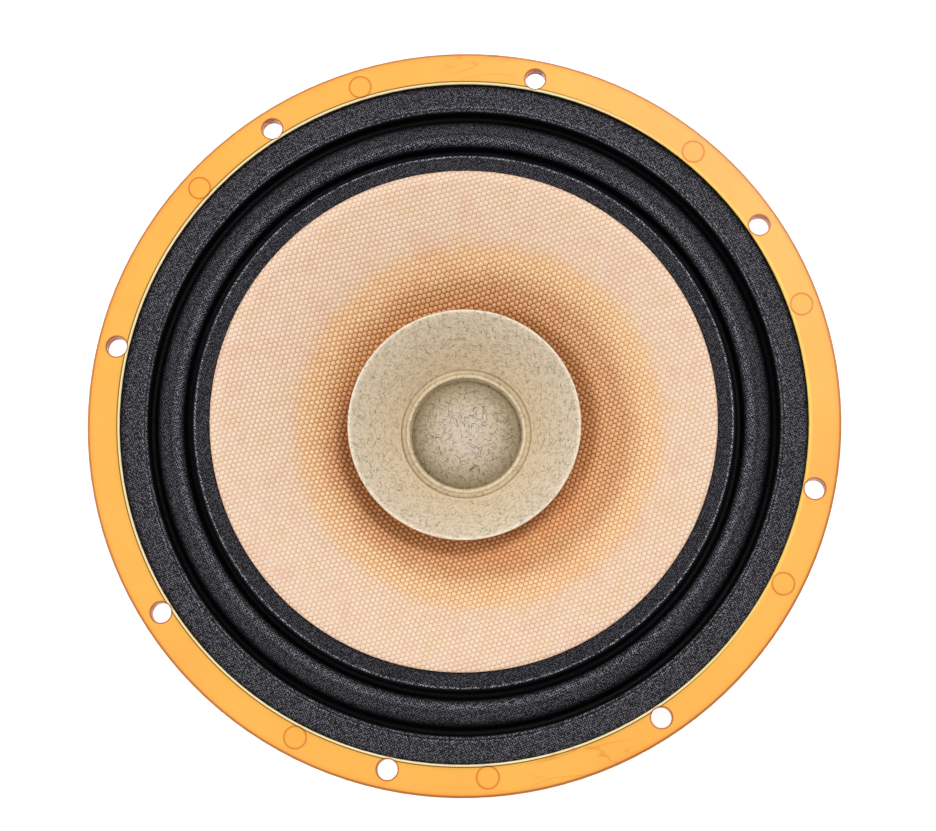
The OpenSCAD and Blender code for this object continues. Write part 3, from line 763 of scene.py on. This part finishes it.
def ringed(name, colours, pitch, depth, **shader):
    """A turned or wound metal: a noise over the distance from the axis and the height, so that its grain runs
    around the axis in rings one pitch apart, in millimetres, with a broad cloud mixed in by half."""
    material, tree, point = start_material(name)
    height = add(tree, "ShaderNodeSeparateXYZ", {0: point}).outputs[2]
    section = add(tree, "ShaderNodeCombineXYZ", {0: nearest(tree, point, axis), 2: height})
    rings = add(
        tree, "ShaderNodeTexNoise", {"Vector": section.outputs[0], "Scale": 1 / (pitch * MM), "Detail": 1.0}
    )
    cloud = add(tree, "ShaderNodeTexNoise", {"Vector": point, "Scale": 0.06 / MM, "Detail": 3.0})
    mixed = add(tree, "ShaderNodeMath", {0: rings.outputs["Fac"], 1: cloud.outputs["Fac"]}, operation="ADD")
    halved = add(tree, "ShaderNodeMath", {0: mixed.outputs[0], 1: 0.5}, operation="MULTIPLY")
    toned(tree, halved.outputs[0], colours, 0.12, rings.outputs["Fac"], depth, shader)
    return material


def dress(material, *names):
    """Gives CAD nodes their material."""
    for name in names:
        nodes[name].material_slots[0].material = material


wire_d = 0.35
film = grained(
    "cast_polyimide_film",
    ["#8f6a3c", "#a47c48", "#b48c56"],
    grain=(6, 6, 2),
    depth=0.01,
    Roughness=0.22,
    IOR=1.7,
)
kraft = grained(
    "varnished_kraft_paper",
    ["#6b4a2c", "#84603a", "#977148"],
    grain=(1.5, 1.5, 0.15),
    depth=0.04,
    Roughness=0.5,
)
wire = ringed(
    "lacquered_copper_clad_wire",
    ["#8f4a2a", "#c27548", "#e0a078"],
    pitch=wire_d,
    depth=0.08,
    Metallic=1.0,
    Roughness=0.32,
)
dress(film, "coil_former")
dress(kraft, "former_collar")
dress(wire, "coil_winding")


# Spider: cotton cloth dipped in phenolic resin and pressed hot into rings of waves, glued on the collar and
# on the basket's ledge. The resin turns the cloth yellow-brown and leaves its open weave standing.
spider_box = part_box("spider")
spider_r = spider_box[1][0] / MM
spider_wave_h, spider_t, spider_waves = 1.2, 0.4, 6
spider_z = spider_box[1][2] / MM - spider_wave_h - spider_t / 2
spider_foot_z = spider_box[0][2] / MM
spider_neck_r, spider_bend, wave_in, wave_out = 18.2, 0.3, 20.4, 50.8
wave = np.linspace(0.0, 1.0, 16 * spider_waves)
spider_line = np.concatenate(
    [
        [[spider_neck_r, spider_foot_z], [spider_neck_r, spider_z - spider_bend]],
        [[spider_neck_r + spider_bend, spider_z]],
        np.stack(
            [
                wave_in + (wave_out - wave_in) * wave,
                spider_z + spider_wave_h * np.sin(2 * np.pi * spider_waves * wave),
            ],
            axis=1,
        ),
        [[spider_r, spider_z]],
    ]
)
line = spaced(spider_line, step=0.5)
spider_outline = np.concatenate([beside(line, spider_t / 2), beside(line, -spider_t / 2)[::-1]])
points, faces = turned(spider_outline, segments=300)
spider_thread_pitch = 0.6
phenolic, tree, point = start_material("phenolic_dipped_cotton")
knots = weave(tree, point, spider_thread_pitch, turn=20, wander=0.2)
threads = add(
    tree,
    "ShaderNodeValToRGB",
    {"Fac": knots},
    stops=[(0.0, "#8a6426"), (0.3, "#c49a4a"), (0.8, "#dcb868")],
)
phenolic_bump = add(tree, "ShaderNodeBump", {"Height": knots, "Strength": 0.8, "Distance": 0.15 * MM})
finish_material(
    tree, {"Base Color": threads.outputs[0], "Roughness": 0.6, "Normal": phenolic_bump.outputs[0]}
)
spider = new_piece("corrugated_spider", points, faces, phenolic)
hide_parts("spider")
bend_by_radius(spider)


# Whizzer cone and dust cap: felted paper pulp, pressed to shape and trimmed, with short dark fibres in it.
# The whizzer's mouth is trimmed to a pale bare edge. The cap's dome is sunken, and its rim is rolled over the
# former's edge and out to the whizzer's neck, where a line of glue holds it.
paper_t = 0.5
whizzer_foot_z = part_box("whizzer_cone")[0][2] / MM
whizzer_neck_r, whizzer_mouth_r = 18.25, 32.3
whizzer_neck_l, whizzer_depth, whizzer_bulge = 4.5, 18.2, 1.0
whizzer_neck = np.array([whizzer_neck_r, whizzer_foot_z + whizzer_neck_l])
whizzer_mouth = np.array([whizzer_mouth_r, whizzer_neck[1] + whizzer_depth])
whizzer_wall = bulged(whizzer_neck, whizzer_mouth, whizzer_bulge, 24)
whizzer_line = spaced(np.concatenate([[[whizzer_neck_r, whizzer_foot_z]], whizzer_wall]), step=0.5)
whizzer_front = beside(whizzer_line, paper_t / 2)
whizzer_outline = np.concatenate([whizzer_front, beside(whizzer_line, -paper_t / 2)[::-1]])
whizzer_neck_points = 10

former_top_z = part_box("coil_former")[1][2] / MM
cap_rim_r, cap_lip_r, cap_lip_w, cap_lip_h = 17.45, 17.0, 1.02, 0.45
cap_lip_z = former_top_z + 0.05
cap_edge_z = former_top_z - 1.9
dome_r, dome_h = 15.7, 3.6
glue_z = former_top_z + 0.08
glue_r = np.interp(glue_z, whizzer_front[:, 1], whizzer_front[:, 0]) + 0.05
dome = np.linspace(0.0, 1.0, 36)[1:]
cap_front = spaced(
    np.concatenate(
        [
            [[glue_r, glue_z], [glue_r - 0.3, glue_z - 0.03]],
            arc((cap_lip_r, cap_lip_z), cap_lip_w, cap_lip_h, 40, 180, 12),
            [[dome_r + 0.25, cap_edge_z + 0.3], [dome_r, cap_edge_z]],
            np.stack([dome_r * (1 - dome), cap_edge_z + dome_h * (1 - (1 - dome) ** 2)], axis=1),
        ]
    ),
    step=0.3,
)
cap_back = np.array(
    [
        [0.0, cap_edge_z + dome_h - paper_t],
        [8.0, cap_edge_z + 2.1],
        [dome_r, cap_edge_z - 0.45],
        [cap_rim_r, cap_edge_z],
        [cap_rim_r, cap_lip_z],
        [whizzer_neck_r - 0.28, cap_lip_z + 0.05],
    ]
)
cap_outline = np.concatenate([cap_front, cap_back])


def fibres(line, inner, outer, count, lengths, width, rng):
    """Short curved fibres on a turned surface, each a thin ridge of three sides. A fibre bends steadily: its
    direction is a0 + k s at the length s, and its points are the running sum of steps in that direction,
    around the axis and along the profile. Its width follows a half ellipse. Returns points and faces."""
    rings = 6
    s = np.linspace(-0.5, 0.5, rings)
    start_r = np.sqrt(rng.uniform(inner**2, outer**2, count))[:, None]
    turn = rng.uniform(0, 2 * np.pi, count)[:, None]
    step = rng.uniform(*lengths, count)[:, None] / (rings - 1)
    heading = rng.uniform(0, 2 * np.pi, count)[:, None] + rng.normal(0, 1.6, count)[:, None] * s
    half = 0.5 * width * np.sqrt(1.05 - (2 * s) ** 2)
    u = np.cumsum(np.cos(heading), axis=1) * step
    v = np.cumsum(np.sin(heading), axis=1) * step
    along = lengths_along(line)
    order = np.argsort(line[:, 0])
    start_v = np.interp(start_r, line[order, 0], along[order])
    places = []
    for side, lift in ((-1, -0.02), (0, 0.06), (1, -0.02)):
        across = u - side * half * np.sin(heading)
        down = np.clip(start_v + v + side * half * np.cos(heading), 0, along[-1])
        r, z = np.interp(down, along, line[:, 0]), np.interp(down, along, line[:, 1]) + lift
        angle = turn + across / np.maximum(start_r, 1.0)
        places.append(np.stack([r * np.cos(angle), r * np.sin(angle), z], axis=2))
    points = np.stack(places, axis=2).reshape(-1, 3)
    base = (np.arange(count) * rings)[:, None, None] + np.arange(rings - 1)[None, :, None]
    near = base * 3 + np.arange(3)
    beyond = base * 3 + (np.arange(3) + 1) % 3
    walls = np.stack([near, beyond, beyond + 3, near + 3], axis=3)
    first = np.arange(count)[:, None] * rings * 3
    ends = np.concatenate([first + [2, 1, 0], first + (rings - 1) * 3 + np.array([0, 1, 2])])
    return points, [walls.reshape(-1, 4), ends]


def pulp(name, stops):
    """Felted paper whose colour runs through the given radii in millimetres, mottled and pressed by a noise
    of about one millimetre, coarser than real pulp, so that it shows."""
    material, tree, point = start_material(name)
    base = by_distance(tree, nearest(tree, point, axis), stops)
    mottle = add(
        tree, "ShaderNodeTexNoise", {"Vector": point, "Scale": 1.1 / MM, "Detail": 4.0, "Roughness": 0.7}
    )
    clouds = add(
        tree,
        "ShaderNodeValToRGB",
        {"Fac": mottle.outputs["Fac"]},
        stops=[(0.3, "#c9c1b2"), (0.46, "#f2ece0"), (0.7, "#ffffff")],
    )
    bump = add(
        tree, "ShaderNodeBump", {"Height": mottle.outputs["Fac"], "Strength": 0.6, "Distance": 0.1 * MM}
    )
    finish_material(
        tree,
        {
            "Base Color": tinted(tree, base, [(clouds.outputs[0], 1.0)]),
            "Roughness": 0.85,
            "Specular IOR Level": 0.3,
            "Normal": bump.outputs[0],
        },
    )
    return material


whizzer_pulp = pulp(
    "pressed_whizzer_pulp",
    [
        (whizzer_neck_r - paper_t / 2, "#efdfc4"),
        (20.0, "#edddc4"),
        (25.0, "#e7d9c2"),
        (whizzer_mouth_r - 1.1, "#e5d9c6"),
        (whizzer_mouth_r - 0.1, "#fff6e8"),
    ],
)
# Painted shade: the dome darkens towards its edge and the rolled lip, and a thin darker line is painted where
# the lip meets the whizzer's neck; the lip also has a darker band just outside its crest.
cap_pulp = pulp(
    "pressed_cap_pulp",
    [
        (0.0, "#d8ccc2"),
        (7.0, "#d2c6b6"),
        (10.0, "#c4b7a2"),
        (13.0, "#ac9f87"),
        (dome_r - 0.3, "#97896e"),
        (dome_r + 0.3, "#d6c7aa"),
        (cap_lip_r - 0.5, "#e8dac0"),
        (cap_lip_r - 0.2, "#e2d3b8"),
        (cap_lip_r + 0.05, "#bcac8e"),
        (cap_lip_r + 0.2, "#bcac8e"),
        (cap_lip_r + 0.5, "#d6c6a8"),
        (cap_lip_r + 0.9, "#d6c7ab"),
        (cap_lip_r + 1.15, "#c2b499"),
        (cap_lip_r + 1.5, "#cbbda3"),
    ],
)
fibre_tones = grained(
    "dark_pulp_fibres", ["#14110c", "#282318", "#4a4434"], grain=(1, 1, 1), depth=0.01, Roughness=0.8
)
whizzer = new_piece("paper_whizzer", *turned(whizzer_outline, segments=300), whizzer_pulp)
cap = new_piece("paper_dust_cap", *turned(cap_outline, segments=240), cap_pulp)
# Each row gives the fibres' profile, the radii where they start, their count, lengths and width.
whizzer_fibres, cap_fibres, long_fibres = [
    new_piece(name, *fibres(line, inner, outer, count, lengths, width, rng), fibre_tones)
    for name, line, inner, outer, count, lengths, width in (
        ("whizzer_fibres", whizzer_front[whizzer_neck_points:], 19.0, 31.9, 2500, (0.4, 2.0), 0.1),
        ("dust_cap_fibres", cap_front, 0.5, 17.2, 800, (0.4, 1.8), 0.09),
        ("dust_cap_long_fibres", cap_front, 1.0, 14.5, 150, (1.4, 3.8), 0.12),
    )
]
for piece, name in (
    (whizzer, "cone_paper"),
    (whizzer_fibres, "cone_paper"),
    (cap, "cap_paper"),
    (cap_fibres, "cap_paper"),
    (long_fibres, "cap_paper"),
):
    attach(piece, "moving_assembly")
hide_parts("whizzer_cone")
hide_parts("dust_cap")


# Motor: steel top plate, back plate and pole, turned on a lathe and plated with zinc, around a ring of
# sintered ferrite, glued together. The steel shows rings and a faint blue and yellow bloom, and the ferrite
# a dull ground grey with pale specks. Rings and specks are drawn coarse, so that they show.
zinc_steel = ringed(
    "turned_zinc_plated_steel",
    ["#a9a69a", "#c2c3c4", "#d2cfc0", "#b9c2ca"],
    pitch=0.8,
    depth=0.03,
    Metallic=1.0,
    Roughness=0.3,
)
ferrite = grained(
    "ground_sintered_ferrite",
    ["#26272b", "#303136", "#3c3d42", "#5a5b60"],
    grain=(0.9, 0.9, 0.9),
    depth=0.05,
    Roughness=0.55,
)
dress(zinc_steel, "top_plate", "back_plate", "pole_piece")
dress(ferrite, "magnet_ring")

# Vent mesh: steel wire woven square and blackened, pressed into the mouth of the pole's vent.
# Each wire rises and falls over its neighbours, so it catches the light in short dashes.
wire_pitch = 1.8
mesh_wire, tree, point = start_material("blackened_woven_wire")
crossings = weave(tree, point, wire_pitch, turn=0, wander=0.0)
mesh_tones = add(
    tree,
    "ShaderNodeValToRGB",
    {"Fac": crossings},
    stops=[(0.0, "#55565a"), (0.4, "#3a3b3e"), (1.0, "#232427")],
)
mesh_bump = add(tree, "ShaderNodeBump", {"Height": crossings, "Strength": 0.8, "Distance": 0.2 * MM})
finish_material(
    tree,
    {
        "Base Color": mesh_tones.outputs[0],
        "Metallic": 1.0,
        "Roughness": 0.45,
        "Normal": mesh_bump.outputs[0],
    },
)
dress(mesh_wire, "vent_mesh")

# Basket screws: four pan-head screws, cold-formed in steel and zinc-plated, through the basket into the top
# plate. The plating is a mottled pale grey, a little scratched.
screw_steel = grained(
    "zinc_plated_screw_steel",
    ["#9c9c98", "#b8b8b4", "#cfcdc2"],
    grain=(0.6, 0.6, 1.2),
    depth=0.02,
    Metallic=1.0,
    Roughness=0.34,
)
dress(screw_steel, "basket_screws")

# Terminal board with its blades and rivets: sheets of kraft paper laminated with phenolic resin, brown with
# darker layers at the cut edge. The blades are brass, stamped and tin-plated, pale grey with fine lines
# along them, and the rivets nickel-plated brass, which is yellower.
laminate = grained(
    "phenolic_paper_laminate",
    ["#3c2013", "#4c2a19", "#5d3621"],
    grain=(5, 5, 0.2),
    depth=0.02,
    Roughness=0.42,
)
tinned_brass = grained(
    "tin_plated_brass",
    ["#b4b0a2", "#c9c5b6", "#d8d3c0"],
    grain=(2.5, 0.15, 0.4),
    depth=0.01,
    Metallic=1.0,
    Roughness=0.36,
)
rivet_brass = grained(
    "nickel_plated_rivet_brass",
    ["#b9a878", "#cdbf92", "#d9cfac"],
    grain=(0.5, 0.5, 0.5),
    depth=0.02,
    Metallic=1.0,
    Roughness=0.3,
)
dress(laminate, "terminal_board")
dress(tinned_brass, "terminal_plus", "terminal_minus")
dress(rivet_brass, "terminal_rivets", "board_rivet")


# Tinsel leads: copper tinsel braided on a cotton core, soldered to the tags and to the former, with slack for
# the cone's travel. Eight strands cross over and under, so the copper glints in small lozenges.
lead_d = 1.6
braid_relief = 0.14
braid_pitch = 5.0
braid_strands = 4
plus_route = [
    [-61.6, 9, -1],
    [-60, 9, -1],
    [-57, 8.8, -0.2],
    [-53, 8.4, 1.4],
    [-49, 7.9, 3],
    [-45, 7.3, 4],
    [-41, 6.7, 4.4],
    [-37, 6.1, 4.2],
    [-33, 5.5, 3.2],
    [-29, 4.9, 1.6],
    [-26, 4.5, -0.2],
    [-23.6, 4.2, -1.8],
    [-21.6, 4, -2.6],
    [-20, 4, -2.6],
]


def smooth_route(corners, step):
    """A route through its corners with rounded bends: on each stretch a cubic whose ends follow the line from
    the corner before to the corner after, then points one step apart."""
    ends = np.concatenate([[2 * corners[0] - corners[1]], corners, [2 * corners[-1] - corners[-2]]])
    t = np.linspace(0, 1, 12, endpoint=False)[None, :, None]
    p0, p1, p2, p3 = (ends[k : len(ends) - 3 + k][:, None, :] for k in range(4))
    square, cube = 2 * p0 - 5 * p1 + 4 * p2 - p3, 3 * p1 - p0 - 3 * p2 + p3
    curve = 0.5 * (2 * p1 + (p2 - p0) * t + square * t**2 + cube * t**3)
    return spaced(np.concatenate([curve.reshape(-1, 3), corners[-1:]]), step)


def braid(route, radius, sides=20):
    """A tube along a route whose radius rises where strands pass: r - h + h |cos(n a / 2 + k s)| for one way
    round and the same with - k s for the other, the higher of the two, with a the angle and s the length.
    Both ends are closed with a fan. Returns points, faces and the height of the relief."""
    run = np.gradient(route, axis=0)
    run /= np.linalg.norm(run, axis=1)[:, None]
    right = np.cross([0.0, 0.0, 1.0], run)
    right /= np.linalg.norm(right, axis=1)[:, None]
    above = np.cross(run, right)
    a = np.linspace(0, 2 * np.pi, sides, endpoint=False)[None, :]
    s = (2 * np.pi / braid_pitch) * lengths_along(route)[:, None]
    relief = np.maximum(np.abs(np.cos(braid_strands / 2 * a + s)), np.abs(np.cos(braid_strands / 2 * a - s)))
    r = radius - braid_relief + braid_relief * relief
    points = route[:, None] + (r * np.cos(a))[..., None] * right[:, None]
    points = points + (r * np.sin(a))[..., None] * above[:, None]
    i, k = np.meshgrid(np.arange(len(route) - 1), np.arange(sides), indexing="ij")
    k2 = (k + 1) % sides
    walls = np.stack([i * sides + k, i * sides + k2, (i + 1) * sides + k2, (i + 1) * sides + k], axis=2)
    last = len(route) * sides
    ring = np.arange(sides)
    foot = np.stack([np.full(sides, last), np.roll(ring, -1), ring], axis=1)
    head = np.stack([np.full(sides, last + 1), last - sides + ring, last - sides + np.roll(ring, -1)], axis=1)
    points = np.concatenate([points.reshape(-1, 3), route[:1], route[-1:]])
    return points, [walls.reshape(-1, 4), foot, head], np.append(relief.reshape(-1), [0.5, 0.5])


copper, tree, point = start_material("braided_copper_tinsel")
# Painted glints and shade: the copper is lighter on the strands' tops and darker between them.
strand_glint_and_shade = by_attribute(tree, "strand", [(0.6, "#7c4a30"), (0.8, "#cc8c62"), (1.0, "#f2c6a2")])
hairs = add(tree, "ShaderNodeTexNoise", {"Vector": point, "Scale": 6.0 / MM, "Detail": 2.0})
hair_bump = add(
    tree, "ShaderNodeBump", {"Height": hairs.outputs["Fac"], "Strength": 0.6, "Distance": 0.05 * MM}
)
finish_material(
    tree,
    {
        "Base Color": strand_glint_and_shade,
        "Metallic": 0.9,
        "Roughness": 0.4,
        "Normal": hair_bump.outputs[0],
    },
)
for side, node in ((1, "tinsel_lead_plus"), (-1, "tinsel_lead_minus")):
    corners = np.array(plus_route, float) * [1, side, 1] + [0, 0, cone_foot_z]
    route = smooth_route(corners, step=0.15)
    points, faces, relief = braid(route, lead_d / 2)
    lead = new_piece("braided_" + node, points, faces, copper, {"strand": relief})
    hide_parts(node)
    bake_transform(lead)

# Solder joints: tin solder that flowed over each end of a lead and set bright. Its skin is rippled, so it
# shines in small white glints.
solder = grained(
    "bright_tin_solder",
    ["#a6a6a8", "#c0c0c3", "#d6d6d8"],
    grain=(0.5, 0.5, 0.5),
    depth=0.08,
    Metallic=1.0,
    Roughness=0.25,
)
dress(solder, "lead_joints_former", "lead_joints_tags")


# Floor and light: white paper sweep under the driver, a soft lamp at the upper right of the photograph, a
# slightly weaker one at its left, and an even white room. The paper glows for the camera and for reflections,
# so that it looks pure white and still takes its light from the lamps.
floor_half = 3000.0
corner = floor_half * np.array([[-1, -1], [1, -1], [1, 1], [-1, 1]])
floor_z = cad_box[0][2] / MM
sweep, tree, point = start_material("white_paper_sweep")
path = add(tree, "ShaderNodeLightPath")
seen = add(
    tree,
    "ShaderNodeMath",
    {0: path.outputs["Is Camera Ray"], 1: path.outputs["Is Glossy Ray"]},
    operation="MAXIMUM",
)
seen = add(
    tree, "ShaderNodeMath", {0: seen.outputs[0], 1: path.outputs["Is Transmission Ray"]}, operation="MAXIMUM"
)
glow_level = add(tree, "ShaderNodeMath", {0: seen.outputs[0], 1: 0.55}, operation="MULTIPLY")
paper = add(tree, "ShaderNodeBsdfDiffuse", {"Color": linear("#f4f4f4")})
glow = add(tree, "ShaderNodeEmission", {"Color": (1, 1, 1, 1), "Strength": glow_level.outputs[0]})
both = add(tree, "ShaderNodeAddShader", {0: paper.outputs[0], 1: glow.outputs[0]})
add(tree, "ShaderNodeOutputMaterial", {"Surface": both.outputs[0]})
floor = new_piece("floor", np.column_stack([corner, np.full(4, floor_z)]), np.array([[0, 1, 2, 3]]), sweep)

for name, place, size, power in (
    ("right_softbox", (0.5, 0.42, 0.95), 0.5, 6.4),
    ("left_softbox", (-0.75, -0.05, 0.85), 0.6, 4.6),
):
    lamp = bpy.data.lights.new(name, "AREA")
    lamp.size = size
    lamp.energy = power
    lamp_object = bpy.data.objects.new(name, lamp)
    lamp_object.location = place
    lamp_object.rotation_euler = (-Vector(place)).to_track_quat("-Z", "Y").to_euler()
    bpy.context.collection.objects.link(lamp_object)

world = bpy.data.worlds.new("white_room")
bpy.context.scene.world = world
world.use_nodes = True
world.node_tree.nodes.clear()
tree = world.node_tree
path = add(tree, "ShaderNodeLightPath")
room = add(tree, "ShaderNodeBackground", {"Color": (1, 1, 1, 1), "Strength": 0.48})
white = add(tree, "ShaderNodeBackground", {"Color": (1, 1, 1, 1), "Strength": 1.0})
mixed = add(
    tree, "ShaderNodeMixShader", {0: path.outputs["Is Camera Ray"], 1: room.outputs[0], 2: white.outputs[0]}
)
add(tree, "ShaderNodeOutputWorld", {"Surface": mixed.outputs[0]})
